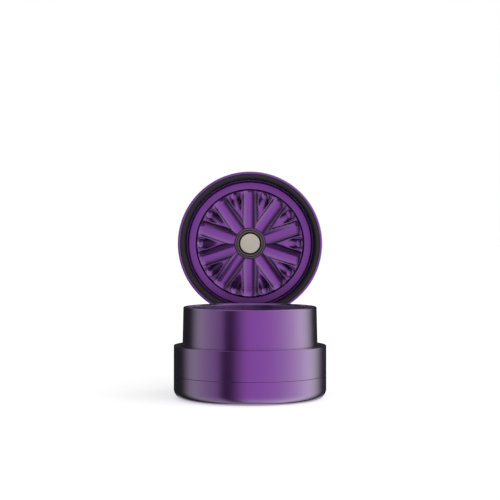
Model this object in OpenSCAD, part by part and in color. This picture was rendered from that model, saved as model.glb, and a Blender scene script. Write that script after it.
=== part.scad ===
/* [Body] */
// Outside diameter of the cup, the catch chamber and the lid
body_d = 63.5; // [63:0.1:66]
// Rounding of the bottom edge and of the lid's top edge
edge_r = 4; // [2:0.5:5]
// Height of the seam between the cup and the catch chamber
seam_z = 9.7; // [9.7:0.1:10.2]
// Height of the ledge that the lid closes onto
ledge_z = 22; // [21.8:0.1:22.5]
// Height of the neck's rim
neck_top_z = 38; // [38:0.1:39]
// Thickness of the cup's floor
cup_floor = 2.2; // [1.5:0.1:2.4]

/* [Neck] */
// Outside diameter of the neck where it leaves the ledge
neck_d = 56.2; // [56:0.1:56.4]
// How much smaller the neck's radius is at the rim
neck_taper = 0.35; // [0:0.05:0.5]
// Inside diameter of the neck
neck_bore_d = 50.8; // [50:0.1:51]
// Bevel round the outside of the neck's rim
rim_bevel = 0.3; // [0.2:0.1:0.9]
// Bevel round the inside of the neck's rim
mouth_bevel = 0.7; // [0.7:0.1:0.9]

/* [Threads and seals] */
// Rise of a screwed piece in one turn
thread_pitch = 1.5; // [1.4:0.05:1.55]
// Radial play between a screwed piece and its bore
thread_play = 0.3; // [0.2:0.05:0.35]
// Thickness of the rubber rings
seal_d = 1; // [0.8:0.1:1]

/* [Lid] */
// Height of the lid
lid_h = 21.5; // [21.3:0.1:23]
// Inside diameter of the black sleeve that lines the lid's skirt
lid_bore_d = 57.8; // [57.6:0.1:58.2]
// Depth from the lid's rim to the ring that meets the neck
skirt_depth = 16; // [16:0.1:16.4]
// Depth of the grooves on both sides of that ring
moat_depth = 3.4; // [2.8:0.1:3.4]
// Height of the standing lid's centre
lid_z = 63.7; // [63:0.1:65]
// Gap between the body and the lid standing behind it
lid_gap = 1.35; // [1:0.05:1.5]

/* [Rotor and stator] */
// Outside diameter of the rotor
rotor_d = 47.4; // [46:0.1:47.4]
// How far the rotor stands out of the ring around it
rotor_rise = 3; // [2:0.1:3]
// Number of long flutes; as many short ones lie between them
flutes = 10; // [8:1:12]
// Radius of the round cutter that makes the long flutes
flute_r = 5.4; // [5:0.1:6]
// Depth of the long flutes
flute_depth = 1.4; // [1.2:0.1:1.6]
// Radius of the round cutter that makes the short flutes
short_flute_r = 3.3; // [3:0.1:4]
// Slope of the short flutes
short_slope = 14; // [10:1:16]
// Height of the stator's top face
stator_z = 33.2; // [33:0.1:33.6]
// Diameter of the steel cup around each magnet
hub_d = 13.5; // [13:0.1:14]
// Diameter of each magnet
magnet_d = 9; // [8:0.1:9.4]

/* [Hidden] */
$fn = 128;

purple = [0.42, 0.22, 0.53];
steel = [0.55, 0.52, 0.54];
nickel = [0.80, 0.77, 0.72];
black = [0.10, 0.10, 0.11];

eps = 0.01;
seam_gap = 0.1;
seam_bevel = 0.1;
ledge_bevel = 0.15;
body_r = body_d / 2;

// Cup and catch chamber: the cup's mouth takes the chamber's screwed spigot.
cup_mouth_r = body_r - 2.9;
cup_inner_r = cup_mouth_r - 1.35;
cup_thread_z = seam_z - 3 * thread_pitch - 0.3;
spigot_r = cup_mouth_r - thread_play;
spigot_z = cup_thread_z + 0.4;
chamber_r = spigot_r - 2.1;
seal_groove = 1.35;
cup_seal_z = seam_z - 0.8;
seal_r = seal_d / 2;

// Sieve under the catch chamber, held up by a snap ring.
screen_seat_r = chamber_r + 0.6;
screen_z = seam_z - 2.1;
screen_t = 0.9;
mesh_t = 0.25;
snap_t = 0.8;
screen_snap_z = screen_z - snap_t - 0.1;

// Neck: its screwed lower end sits in the top of the catch chamber.
neck_r = neck_d / 2;
neck_bore_r = neck_bore_d / 2;
neck_socket_r = neck_r + thread_play;
neck_socket_z = ledge_z - 3.5 * thread_pitch - 0.05;
neck_bottom_z = neck_socket_z + 0.3;
neck_seal_z = ledge_z - 1;

// Stator: a fluted plate on an inner lip of the neck, held down by a snap ring.
stator_t = 3.8;
stator_r = neck_bore_r - 2.4;
flange_r = neck_bore_r - 0.2;
flange_t = 1.8;
stator_bottom_z = stator_z - stator_t;
lip_z = stator_bottom_z - 1.2;
lip_r = neck_bore_r - 2;
stator_snap_z = stator_bottom_z + flange_t + 0.05;
stator_snap_r = neck_bore_r + 0.6;
slot_w = 3;
slot_in_r = 10.5;
slot_out_r = 18.6;
drop_hole_r = 1.6;
drop_ring_r = 20.4;

// Magnets: each sits in a steel cup that a countersunk screw holds.
hub_r = hub_d / 2;
hub_bore_r = hub_r + 0.35;
hub_inner_r = magnet_d / 2 + 0.6;
hub_seat_r = magnet_d / 2 + 0.1;
hub_taper_h = 1.2;
magnet_t = 2;
magnet_sink = 0.3;
hub_floor_t = 1.7;
hub_wall_h = magnet_sink + magnet_t + 0.1;
hub_h = hub_wall_h + hub_floor_t;
hub_groove_r = (hub_r + hub_inner_r) / 2;
screw_r = 1.5;
screw_head_r = 2.75;
screw_head_h = 1.3;

// Lid, in its own frame: the rim lies at z = 0 and the skirt runs up to the floor.
lid_y = body_r + lid_gap;
lid_bore_r = lid_bore_d / 2;
moat_slope = 1.7;
glide_gap = 0.15;
sleeve_t = 0.4;
skirt_r = lid_bore_r + sleeve_t + glide_gap;
glide_r = lid_bore_r + 1.85;
glide_h = 2;
glide_bevel = 0.5;
rotor_r = rotor_d / 2;
land_in_r = rotor_r + 0.7;
land_out_r = lid_bore_r - 1.45;
rotor_face = skirt_depth - rotor_rise;
rotor_back = rotor_face + 5.2;
rotor_seat = rotor_back + 0.1;
flute_start_r = 2;
flute_end_r = rotor_r - 2.3;
short_start_r = 15;
short_len = 6;
pin_r = 1;
pin_ring_r = 12;
pin_in = 1.6;
pin_out = 1.4;
screw_tip = rotor_back + 2;

// Lays the lid and its pieces upright behind the body, open towards the front.
module standing_lid() {
    translate([0, lid_y, lid_z]) rotate([-90, 0, 0]) children();
}

// A ring with a rectangular section.
module ring(r_in, r_out, z_low, z_high) {
    rotate_extrude() translate([r_in, z_low]) square([r_out - r_in, z_high - z_low]);
}

// A plain disc.
module disc(r, z_low, z_high) {
    translate([0, 0, z_low]) cylinder(r = r, h = z_high - z_low);
}

// What a turning tool with a pointed nose leaves between two radii, down to z, as a section.
module groove(r_in, r_out, z) {
    shoulder_z = z - (r_out - r_in) / 2 * moat_slope;
    polygon([[r_in, 0], [r_out, 0], [r_out, shoulder_z], [(r_in + r_out) / 2, z], [r_in, shoulder_z]]);
}

// What a rounding of radius r takes off a lower outer corner, as a section.
module corner_waste(r) {
    difference() {
        translate([0, -r - 1]) square(r + 1);
        circle(r);
    }
}

// What a bevel of size b takes off an upper outer corner at the origin, as a section.
module bevel_waste(b) {
    polygon([[-b, 0], [0, -b], [b, -b], [b, b], [-b, b]]);
}

// A rubber ring.
module o_ring(r_mid, z_mid) {
    rotate_extrude() translate([r_mid, z_mid]) circle(seal_r, $fn = 48);
}

// An open spring ring with an eye at each end, inside the ring's line.
module snap_ring(r_in, r_out, z_low) {
    eye_r = 1.2;
    eye_hole_r = 0.6;
    eye_angle = 7;
    eye_ring_r = r_in + 0.1;
    mouth_w = 2.4;
    translate([0, 0, z_low]) linear_extrude(snap_t) difference() {
        union() {
            difference() {
                circle(r_out);
                circle(r_in);
            }
            for (side = [-1, 1]) {
                rotate(side * eye_angle) translate([0, -eye_ring_r]) circle(eye_r, $fn = 48);
            }
        }
        translate([-mouth_w / 2, -r_out - 1]) square([mouth_w, r_out - r_in + 5]);
        for (side = [-1, 1]) {
            rotate(side * eye_angle) translate([0, -eye_ring_r]) circle(eye_hole_r, $fn = 32);
        }
    }
}

// A level flute from the centre outwards, cut up into a face at z = 0, with a round end.
module long_flute() {
    translate([0, 0, flute_depth - flute_r]) {
        translate([flute_start_r, 0, 0]) rotate([0, 90, 0]) {
            cylinder(r = flute_r, h = flute_end_r - flute_start_r);
        }
        translate([flute_end_r, 0, 0]) sphere(flute_r);
    }
}

// A sloping flute that starts as a point between two long ones and deepens outwards.
module short_flute() {
    translate([short_start_r, 0, 0]) rotate([0, -short_slope, 0]) translate([0, 0, -short_flute_r]) {
        rotate([0, 90, 0]) cylinder(r = short_flute_r, h = short_len);
        translate([short_len, 0, 0]) sphere(short_flute_r);
    }
}

// All the flutes of a rotor or a stator; the first long one points along +X.
module flute_pattern() {
    step = 360 / flutes;
    for (i = [0 : flutes - 1]) {
        rotate(i * step) long_flute();
        rotate((i + 0.5) * step) short_flute();
    }
}

// A steel cup for a magnet, open towards -z, with a tapered mouth and a fine groove in its rim.
module magnet_cup() {
    difference() {
        disc(hub_r, 0, hub_h);
        cylinder(r1 = hub_inner_r, r2 = hub_seat_r, h = hub_taper_h);
        disc(hub_inner_r, -1, eps);
        disc(hub_seat_r, 0, hub_wall_h);
        ring(hub_groove_r - 0.15, hub_groove_r + 0.15, -1, 0.3);
        disc(screw_r + 0.1, hub_wall_h - 1, hub_h + 1);
        translate([0, 0, hub_wall_h - eps]) {
            cylinder(r1 = screw_head_r + 0.1, r2 = screw_r + 0.1, h = screw_head_h);
        }
    }
}

// A magnet disc with a small bevel on its open face.
module magnet() {
    rotate_extrude() polygon([
        [0, magnet_sink], [magnet_d / 2 - 0.3, magnet_sink], [magnet_d / 2, magnet_sink + 0.3],
        [magnet_d / 2, magnet_sink + magnet_t], [0, magnet_sink + magnet_t]
    ]);
}

// A countersunk screw that starts under the magnet and ends at z = tip.
module hub_screw(tip) {
    rotate_extrude() polygon([
        [0, hub_wall_h], [screw_head_r, hub_wall_h], [screw_r, hub_wall_h + screw_head_h - 0.1],
        [screw_r, tip - 0.3], [screw_r - 0.3, tip], [0, tip]
    ]);
}

// The lowest piece: a shallow cup with a screwed mouth.
module bottom_cup() {
    color(purple) rotate_extrude() difference() {
        square([body_r, seam_z - seam_gap / 2]);
        translate([body_r - edge_r, edge_r]) corner_waste(edge_r);
        translate([0, cup_floor]) square([cup_inner_r, seam_z]);
        translate([0, cup_thread_z]) square([cup_mouth_r, seam_z]);
        translate([body_r, seam_z - seam_gap / 2]) bevel_waste(seam_bevel);
    }
}

// Rubber ring in the root of the catch chamber's spigot.
module cup_o_ring() {
    color(black) o_ring(spigot_r - seal_groove + seal_r + 0.15, cup_seal_z);
}

// The middle piece: it catches the ground herb above the sieve.
module catch_chamber() {
    color(purple) rotate_extrude() difference() {
        union() {
            translate([0, seam_z + seam_gap / 2]) square([body_r, ledge_z - seam_z - seam_gap / 2]);
            translate([0, spigot_z]) square([spigot_r, seam_z - spigot_z + 1]);
        }
        translate([0, spigot_z - 1]) square([chamber_r, ledge_z]);
        translate([0, neck_socket_z]) square([neck_socket_r, ledge_z]);
        translate([0, spigot_z - 1]) square([screen_seat_r, screen_z + screen_t + 0.05 - spigot_z + 1]);
        translate([0, screen_snap_z - 0.05]) square([screen_seat_r + 0.5, snap_t + 0.1]);
        translate([spigot_r - seal_groove, cup_seal_z - seal_r - 0.1]) square([2, seal_d + 0.2]);
        translate([body_r, seam_z + seam_gap / 2]) mirror([0, 1]) bevel_waste(seam_bevel);
        translate([body_r, ledge_z]) bevel_waste(ledge_bevel);
    }
}

// Steel ring that the sieve is clamped in.
module screen_frame() {
    color(steel) difference() {
        ring(screen_seat_r - 2, screen_seat_r - 0.05, screen_z, screen_z + screen_t);
        disc(screen_seat_r - 1.2, screen_z + 0.3, screen_z + 0.3 + mesh_t + 0.05);
    }
}

// The sieve.
module screen_mesh() {
    color(nickel) disc(screen_seat_r - 1.25, screen_z + 0.325, screen_z + 0.325 + mesh_t);
}

// Spring ring under the sieve.
module screen_snap_ring() {
    color(steel) snap_ring(screen_seat_r - 1.3, screen_seat_r + 0.4, screen_snap_z);
}

// Rubber ring around the root of the neck.
module neck_o_ring() {
    color(black) o_ring(neck_r - 1.1 + seal_r + 0.2, neck_seal_z);
}

// The neck: a thin tapering wall that stands in the catch chamber and holds the stator.
module grinding_chamber() {
    rim_r = neck_r - neck_taper;
    color(purple) rotate_extrude() difference() {
        polygon([
            [0, neck_bottom_z], [neck_r, neck_bottom_z], [neck_r, ledge_z],
            [rim_r, neck_top_z - rim_bevel], [rim_r - rim_bevel, neck_top_z], [0, neck_top_z]
        ]);
        translate([0, stator_bottom_z]) square([neck_bore_r, neck_top_z]);
        translate([0, neck_bottom_z - 1]) square([lip_r, neck_top_z]);
        translate([0, neck_bottom_z - 1]) square([neck_bore_r - 0.4, lip_z - neck_bottom_z + 1]);
        translate([0, stator_snap_z - 0.05]) square([stator_snap_r + 0.1, snap_t + 0.1]);
        polygon([
            [0, neck_top_z + 1], [0, neck_top_z - mouth_bevel], [neck_bore_r, neck_top_z - mouth_bevel],
            [neck_bore_r + mouth_bevel, neck_top_z], [neck_bore_r + mouth_bevel, neck_top_z + 1]
        ]);
        translate([neck_r - 1.1, neck_seal_z - seal_r - 0.1]) square([2, seal_d + 0.2]);
    }
}

// The fixed grinding plate: flutes on top, slots and holes that let the herb fall.
module stator() {
    step = 360 / flutes;
    color(purple) difference() {
        union() {
            disc(stator_r, stator_bottom_z, stator_z);
            disc(flange_r, stator_bottom_z, stator_bottom_z + flange_t);
        }
        translate([0, 0, stator_z]) mirror([0, 0, 1]) flute_pattern();
        disc(hub_bore_r, stator_z - 3.1, stator_z + 1);
        disc(screw_r + 0.1, stator_bottom_z - 1, stator_z);
        for (i = [0 : flutes - 1]) {
            rotate(i * step) translate([0, 0, stator_bottom_z - 1]) {
                translate([slot_in_r, -slot_w / 2, 0]) cube([slot_out_r - slot_in_r, slot_w, stator_t + 2]);
                translate([slot_in_r, 0, 0]) cylinder(r = slot_w / 2, h = stator_t + 2);
                translate([slot_out_r, 0, 0]) cylinder(r = slot_w / 2, h = stator_t + 2);
            }
            rotate((i + 0.5) * step) translate([drop_ring_r, 0, 0]) {
                disc(drop_hole_r, stator_bottom_z - 1, stator_z + 1);
            }
        }
    }
}

// Spring ring above the stator's flange.
module stator_snap_ring() {
    color(steel) snap_ring(stator_snap_r - 1.7, stator_snap_r, stator_snap_z);
}

// Shallow steel cup in the middle of the stator.
module stator_magnet_cup() {
    color(steel) translate([0, 0, stator_z]) difference() {
        disc(hub_r, -3, -0.1);
        translate([0, 0, -0.1 - hub_taper_h]) cylinder(r1 = hub_seat_r, r2 = hub_inner_r, h = hub_taper_h);
        disc(hub_seat_r, -1.8, 1);
        disc(screw_r + 0.1, -4, 0);
    }
}

// Magnet in the stator's cup.
module stator_magnet() {
    color(nickel) disc(magnet_d / 2, stator_z - 1.7, stator_z - 0.2);
}

// Countersunk screw that holds the stator's cup from below.
module stator_magnet_screw() {
    color(steel) translate([0, 0, stator_bottom_z]) rotate_extrude() polygon([
        [0, -1], [screw_head_r - 0.6, -1], [screw_head_r, -0.6], [screw_head_r, -0.02],
        [screw_r, -0.02], [screw_r, 1.9], [0, 1.9]
    ]);
}

// Black ring in the lid's rim: its flange slides on the ledge, its sleeve round the neck.
module lid_glide_ring() {
    sleeve_end = skirt_depth - 0.2;
    color(black) standing_lid() rotate_extrude() polygon([
        [lid_bore_r, glide_bevel], [lid_bore_r + glide_bevel, 0], [glide_r - glide_gap - 0.15, 0],
        [glide_r - glide_gap, 0.15], [glide_r - glide_gap, glide_h - glide_gap],
        [lid_bore_r + sleeve_t, glide_h - glide_gap], [lid_bore_r + sleeve_t, sleeve_end],
        [lid_bore_r, sleeve_end]
    ]);
}

// The lid's shell: a skirt, a floor with a raised ring between two grooves, and the rotor's seat.
module lid_cap() {
    rim_round = 0.8;
    color(purple) standing_lid() difference() {
        rotate_extrude() difference() {
            square([body_r, lid_h]);
            translate([body_r - edge_r, lid_h - edge_r]) mirror([0, 1]) corner_waste(edge_r);
            translate([body_r - rim_round, rim_round]) corner_waste(rim_round);
            translate([0, -1]) square([glide_r, glide_h + 1]);
            translate([0, -1]) square([skirt_r, skirt_depth + 1]);
            groove(land_out_r, skirt_r, skirt_depth + moat_depth);
            groove(rotor_r - 0.4, land_in_r, skirt_depth + moat_depth);
            square([rotor_r + 0.1, rotor_seat]);
        }
        disc(screw_r + 0.05, rotor_seat - 1, screw_tip + 0.2);
        for (side = [-1, 1]) {
            translate([side * pin_ring_r, 0, rotor_seat - 1]) disc(pin_r + 0.05, 0, pin_out + 1.1);
        }
    }
}

// The turning grinding disc inside the lid.
module rotor() {
    color(purple) standing_lid() difference() {
        disc(rotor_r, rotor_face, rotor_back);
        translate([0, 0, rotor_face]) rotate(90) flute_pattern();
        disc(hub_bore_r, rotor_face - 1, rotor_face + hub_h - 0.05);
        disc(screw_r + 0.1, rotor_face, rotor_back + 1);
        for (side = [-1, 1]) {
            translate([side * pin_ring_r, 0, rotor_back - pin_in - 0.1]) disc(pin_r + 0.05, 0, pin_in + 1);
        }
    }
}

// Steel cup in the middle of the rotor.
module rotor_magnet_cup() {
    color(steel) standing_lid() translate([0, 0, rotor_face - 0.1]) magnet_cup();
}

// Magnet in the rotor's cup.
module rotor_magnet() {
    color(nickel) standing_lid() translate([0, 0, rotor_face - 0.1]) magnet();
}

// Screw that holds the rotor and its cup to the lid.
module rotor_screw() {
    color(steel) standing_lid() translate([0, 0, rotor_face - 0.1]) hub_screw(screw_tip - rotor_face + 0.1);
}

// A dowel that makes the rotor turn with the lid.
module drive_pin(side) {
    color(steel) standing_lid() translate([side * pin_ring_r, 0, 0]) {
        disc(pin_r, rotor_back - pin_in, rotor_seat + pin_out);
    }
}

bottom_cup();
cup_o_ring();
catch_chamber();
screen_frame();
screen_mesh();
screen_snap_ring();
neck_o_ring();
grinding_chamber();
stator();
stator_snap_ring();
stator_magnet_cup();
stator_magnet();
stator_magnet_screw();
lid_glide_ring();
lid_cap();
rotor();
rotor_magnet_cup();
rotor_magnet();
rotor_screw();
drive_pin(-1);  // drive_pin_left
drive_pin(1);  // drive_pin_right
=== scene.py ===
from math import cos, pi, radians, sin, tau

import bmesh
import bpy
from mathutils import Matrix, Vector


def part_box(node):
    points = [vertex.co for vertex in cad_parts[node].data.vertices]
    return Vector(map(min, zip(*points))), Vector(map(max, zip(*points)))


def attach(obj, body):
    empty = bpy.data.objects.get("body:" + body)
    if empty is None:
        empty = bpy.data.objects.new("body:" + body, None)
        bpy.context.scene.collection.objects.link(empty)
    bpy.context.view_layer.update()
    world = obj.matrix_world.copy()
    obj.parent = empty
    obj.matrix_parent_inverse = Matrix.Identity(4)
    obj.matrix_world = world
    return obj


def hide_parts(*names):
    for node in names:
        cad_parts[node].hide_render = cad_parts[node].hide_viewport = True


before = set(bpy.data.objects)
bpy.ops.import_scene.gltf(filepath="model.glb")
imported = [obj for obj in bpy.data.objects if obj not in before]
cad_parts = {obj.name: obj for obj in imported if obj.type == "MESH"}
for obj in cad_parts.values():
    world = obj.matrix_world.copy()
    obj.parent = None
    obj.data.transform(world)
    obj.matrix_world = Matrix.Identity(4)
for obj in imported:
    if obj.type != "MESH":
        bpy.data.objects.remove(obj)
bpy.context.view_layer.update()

MM = 0.001

# ---------------------------------------------------------------------------
# Sizes, in metres: outer sizes come from the frame, inner ones are named here.
# ---------------------------------------------------------------------------

TURN_STEPS = 256                    # facets round a large turned piece
RING_STEPS = 192                    # round a seal or a spring ring
SMALL_STEPS = 96                    # round a magnet or a screw
PIN_STEPS = 48
EYE_STEPS = 40
SHORT_ARC_STEPS = 4                 # along a rounding of less than 1 mm
LONG_ARC_STEPS = 16
MERGE_DISTANCE = 0.001 * MM         # points closer than this become one
CRISP = 0.05 * MM                   # rounding of an edge cut by a sharp tool


def low(node):
    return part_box(node)[0]


def high(node):
    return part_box(node)[1]


BODY_R = high("bottom_cup").x
CUP_TOP = high("bottom_cup").z
CHAMBER_LOW = low("catch_chamber").z
LEDGE_Z = high("catch_chamber").z
SEAM_GAP = 0.1 * MM
SHOULDER_Z = CUP_TOP + SEAM_GAP     # underside of the chamber's wide part
EDGE_R = 4 * MM                     # rounding of the base and of the lid's top
CUP_FLOOR = 2.2 * MM
CUP_MOUTH_R = BODY_R - 2.9 * MM
CUP_INNER_R = CUP_MOUTH_R - 1.35 * MM
CUP_THREAD_Z = CHAMBER_LOW - 0.4 * MM
SPIGOT_R = CUP_MOUTH_R - 0.3 * MM
CHAMBER_R = SPIGOT_R - 2.1 * MM
SCREEN_SEAT_R = CHAMBER_R + 0.6 * MM

NECK_R = high("grinding_chamber").x
NECK_LOW = low("grinding_chamber").z
NECK_TOP = high("grinding_chamber").z
NECK_TAPER = 0.35 * MM
NECK_BORE_R = 25.4 * MM
RIM_BEVEL = 0.3 * MM                # outside the neck's rim
MOUTH_BEVEL = 0.7 * MM              # inside it
RIM_ROUND = 0.15 * MM
SEAM_ROUND = 0.1 * MM
NECK_SOCKET_R = NECK_R + 0.3 * MM
NECK_SOCKET_Z = NECK_LOW - 0.3 * MM

THREAD_PITCH = 1.5 * MM
THREAD_DEPTH = 0.5 * MM             # of the threads on spigots
SOCKET_THREAD_DEPTH = 0.45 * MM     # of those in sockets
SOCKET_THREAD_INSET = 0.25 * MM     # how far their middle line lies inside the wall
SOCKET_THREAD_START = 0.9 * MM      # how far they begin above the socket's floor
THREAD_START = 0.55 * MM            # how far a spigot's thread begins above its end
THREAD_RUNOUT = 1 * MM              # what it leaves free at both ends together
SEAL_SLACK = 0.1 * MM               # between a seal and each side of its groove
SNAP_SLACK = 0.05 * MM              # between a spring ring and each side of its groove
SPRING_RING_WIDTH = 1.7 * MM

STATOR_LOW = low("stator").z
STATOR_TOP = high("stator").z
FLANGE_R = high("stator").x
STATOR_R = NECK_BORE_R - 2.4 * MM
FLANGE_T = 1.8 * MM

LID_Y = low("lid_cap").y            # the standing lid's rim plane
LID_H = high("lid_cap").y - LID_Y
LID_Z = (low("lid_cap").z + high("lid_cap").z) / 2
SLEEVE_R = 28.9 * MM                # inside of the black ring's sleeve
SLEEVE_T = 0.4 * MM
GLIDE_GAP = 0.15 * MM
SKIRT_R = SLEEVE_R + SLEEVE_T + GLIDE_GAP
LAND_DEPTH = 16 * MM
GROOVE_DEPTH = 19.4 * MM            # apex of the pointed grooves beside the raised ring
GROOVE_SLOPE = 1.7
LAND_OUT_R = SLEEVE_R - 1.45 * MM
GLIDE_SEAT_R = high("lid_glide_ring").x + GLIDE_GAP
GLIDE_SEAT_H = 2 * MM

ROTOR_R = high("rotor").x
ROTOR_FACE = low("rotor").y - LID_Y
ROTOR_BACK = high("rotor").y - LID_Y
ROTOR_SEAT = ROTOR_BACK + 0.1 * MM
GROOVE_IN_R = ROTOR_R - 0.4 * MM
LAND_IN_R = ROTOR_R + 0.7 * MM
HUB_R = high("rotor_magnet_cup").x
HUB_BORE_R = HUB_R + 0.35 * MM
MAGNET_R = high("rotor_magnet").x
MAGNET_SEAT_R = MAGNET_R + 0.1 * MM
MAGNET_MOUTH_R = MAGNET_R + 0.6 * MM
MOUTH_TAPER_H = 1.2 * MM            # height of the magnet cups' tapered mouths

FLUTES = 10
CUTTER_R = 5.4 * MM
FLUTE_DEPTH = 1.4 * MM
SHORT_CUTTER_R = 3.3 * MM
FLUTE_END = ROTOR_R - 2.3 * MM
SHORT_START = 15 * MM
SHORT_SLOPE = radians(14)
SHORT_LENGTH = 6 * MM
CUSP_ROUND = 0.4 * MM               # between two flutes, and between a flute and the face

SLOT_WIDTH = 3 * MM                 # of the drop slots along the stator's long flutes
SLOT_START = 10.5 * MM
SLOT_END = 18.6 * MM
HOLE_R = 1.6 * MM                   # of the drop holes between them
HOLE_RING_R = 20.4 * MM
WEB_T = 0.7 * MM                    # plate under the stator's hub
SCREW_HOLE_R = 1.6 * MM
SCREW_R = 1.5 * MM

# Own frame of the lid's pieces (rim at z = 0, floor above it) to its standing place.
STANDING = Matrix.Translation((0, LID_Y, LID_Z)) @ Matrix.Rotation(radians(-90), 4, "X")

# ---------------------------------------------------------------------------
# Materials
# ---------------------------------------------------------------------------


def adder(tree):
    """A function that adds a node to a tree, sets it up, and sets or links its inputs."""
    def add(kind, inputs=None, **settings):
        node = tree.nodes.new(kind)
        for key, value in settings.items():
            setattr(node, key, value)
        for key, value in (inputs or {}).items():
            if isinstance(value, bpy.types.NodeSocket):
                tree.links.new(value, node.inputs[key])
            else:
                node.inputs[key].default_value = value
        return node

    return add


def new_material(name):
    """An empty material with its shader, and a function that adds a node to it."""
    material = bpy.data.materials.new(name)
    material.use_nodes = True
    tree = material.node_tree
    return material, tree.nodes["Principled BSDF"], adder(tree), tree.links


def lathe_coordinate(add, upright):
    """Distance from the axis plus height along it, so that its steps are rings on every turned face."""
    place = add("ShaderNodeTexCoord").outputs["Object"]
    if upright:
        centred = place
    else:
        moved = add("ShaderNodeMapping", {"Vector": place, "Location": (0, -LID_Y, -LID_Z)})
        centred = add("ShaderNodeMapping", {"Vector": moved.outputs["Vector"],
                                            "Rotation": (radians(90), 0, 0)}).outputs["Vector"]
    parts = add("ShaderNodeSeparateXYZ", {"Vector": centred}).outputs
    flat = add("ShaderNodeCombineXYZ", {"X": parts["X"], "Y": parts["Y"]}).outputs["Vector"]
    radius = add("ShaderNodeVectorMath", {0: flat}, operation="LENGTH").outputs["Value"]
    return add("ShaderNodeMath", {0: radius, 1: parts["Z"]}, operation="ADD").outputs["Value"], centred


def turned_metal(name, colour, dark, roughness, line_scale, line_depth, upright=True, coat=0.0):
    """Metal with fine concentric tool lines, soft blotches in its polish and a little depth of colour."""
    material, shader, add, links = new_material(name)
    along, place = lathe_coordinate(add, upright)
    lines = add("ShaderNodeTexNoise", {"W": along, "Scale": line_scale, "Detail": 3.0, "Roughness": 0.6},
                noise_dimensions="1D").outputs["Fac"]
    cloud = add("ShaderNodeTexNoise", {"Vector": place, "Scale": 55.0, "Detail": 4.0,
                                       "Roughness": 0.55}).outputs["Fac"]
    grain = add("ShaderNodeTexNoise", {"Vector": place, "Scale": 2600.0, "Detail": 2.0}).outputs["Fac"]
    # Colour sockets of a Mix node share their names with the number ones, so they go by place.
    tone = add("ShaderNodeMix", {0: cloud, 6: dark, 7: colour}, data_type="RGBA")
    links.new(tone.outputs[2], shader.inputs["Base Color"])
    rough = add("ShaderNodeMapRange", {"Value": cloud, "From Min": 0.3, "From Max": 0.7,
                                       "To Min": roughness * 0.88, "To Max": roughness * 1.12})
    rough_lines = add("ShaderNodeMath", {0: lines, 1: roughness * 0.25, 2: rough.outputs["Result"]},
                      operation="MULTIPLY_ADD")
    links.new(rough_lines.outputs["Value"], shader.inputs["Roughness"])
    both = add("ShaderNodeMath", {0: grain, 1: 0.35, 2: lines}, operation="MULTIPLY_ADD")
    bump = add("ShaderNodeBump", {"Height": both.outputs["Value"], "Strength": 0.35,
                                  "Distance": line_depth})
    links.new(bump.outputs["Normal"], shader.inputs["Normal"])
    shader.inputs["Metallic"].default_value = 1.0
    if coat:
        # The clear film over the dye is hardly seen from the front and glossy at a slant.
        slant = add("ShaderNodeLayerWeight", {"Blend": 0.5}).outputs["Facing"]
        curved = add("ShaderNodeMath", {0: slant, 1: 1.25}, operation="POWER").outputs["Value"]
        film = add("ShaderNodeMath", {0: curved, 1: coat}, operation="MULTIPLY", use_clamp=True)
        links.new(film.outputs["Value"], shader.inputs["Coat Weight"])
        shader.inputs["Coat Roughness"].default_value = 0.20
        shader.inputs["Coat IOR"].default_value = 4.0
    return material


def moulded(name, colour, roughness, grain_scale, grain_depth):
    """Rubber or plastic with a fine moulded grain and slightly uneven gloss."""
    material, shader, add, links = new_material(name)
    place = add("ShaderNodeTexCoord").outputs["Object"]
    grain = add("ShaderNodeTexNoise", {"Vector": place, "Scale": grain_scale, "Detail": 3.0}).outputs["Fac"]
    cloud = add("ShaderNodeTexNoise", {"Vector": place, "Scale": 180.0, "Detail": 2.0}).outputs["Fac"]
    dark = [c * 0.75 for c in colour[:3]] + [1]
    tone = add("ShaderNodeMix", {0: cloud, 6: dark, 7: colour}, data_type="RGBA")
    links.new(tone.outputs[2], shader.inputs["Base Color"])
    rough = add("ShaderNodeMapRange", {"Value": grain, "To Min": roughness - 0.08,
                                       "To Max": roughness + 0.08})
    links.new(rough.outputs["Result"], shader.inputs["Roughness"])
    bump = add("ShaderNodeBump", {"Height": grain, "Strength": 0.4, "Distance": grain_depth})
    links.new(bump.outputs["Normal"], shader.inputs["Normal"])
    shader.inputs["Specular IOR Level"].default_value = 0.3
    return material


PURPLE = (0.178, 0.054, 0.275, 1)
PURPLE_DARK = (0.160, 0.047, 0.248, 1)
FILM = 2.1                          # strength of the anodised film at a slant
body_purple = turned_metal("body_purple", PURPLE, PURPLE_DARK, 0.22, 9000, 0.004 * MM, coat=FILM)
lid_purple = turned_metal("lid_purple", PURPLE, PURPLE_DARK, 0.27, 9000, 0.004 * MM, upright=False,
                          coat=FILM)
rotor_purple = turned_metal("rotor_purple", PURPLE, PURPLE_DARK, 0.22, 5200, 0.003 * MM, upright=False,
                            coat=FILM)
stator_purple = turned_metal("stator_purple", PURPLE, PURPLE_DARK, 0.24, 5200, 0.003 * MM, coat=FILM)
hub_steel = turned_metal("hub_steel", (0.150, 0.115, 0.140, 1), (0.115, 0.088, 0.108, 1), 0.42, 14000,
                         0.006 * MM, upright=False)
plain_steel = turned_metal("plain_steel", (0.46, 0.45, 0.46, 1), (0.38, 0.37, 0.38, 1), 0.30, 8000,
                           0.004 * MM)
wire_steel = turned_metal("wire_steel", (0.50, 0.49, 0.50, 1), (0.42, 0.41, 0.42, 1), 0.32, 3000,
                          0.002 * MM)
magnet_nickel = turned_metal("magnet_nickel", (0.60, 0.55, 0.48, 1), (0.56, 0.51, 0.45, 1), 0.45, 2500,
                             0.002 * MM, upright=False)
seal_rubber = moulded("seal_rubber", (0.012, 0.012, 0.012, 1), 0.62, 5000.0, 0.01 * MM)
glide_polymer = moulded("glide_polymer", (0.013, 0.0145, 0.012, 1), 0.50, 7000.0, 0.006 * MM)

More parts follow.
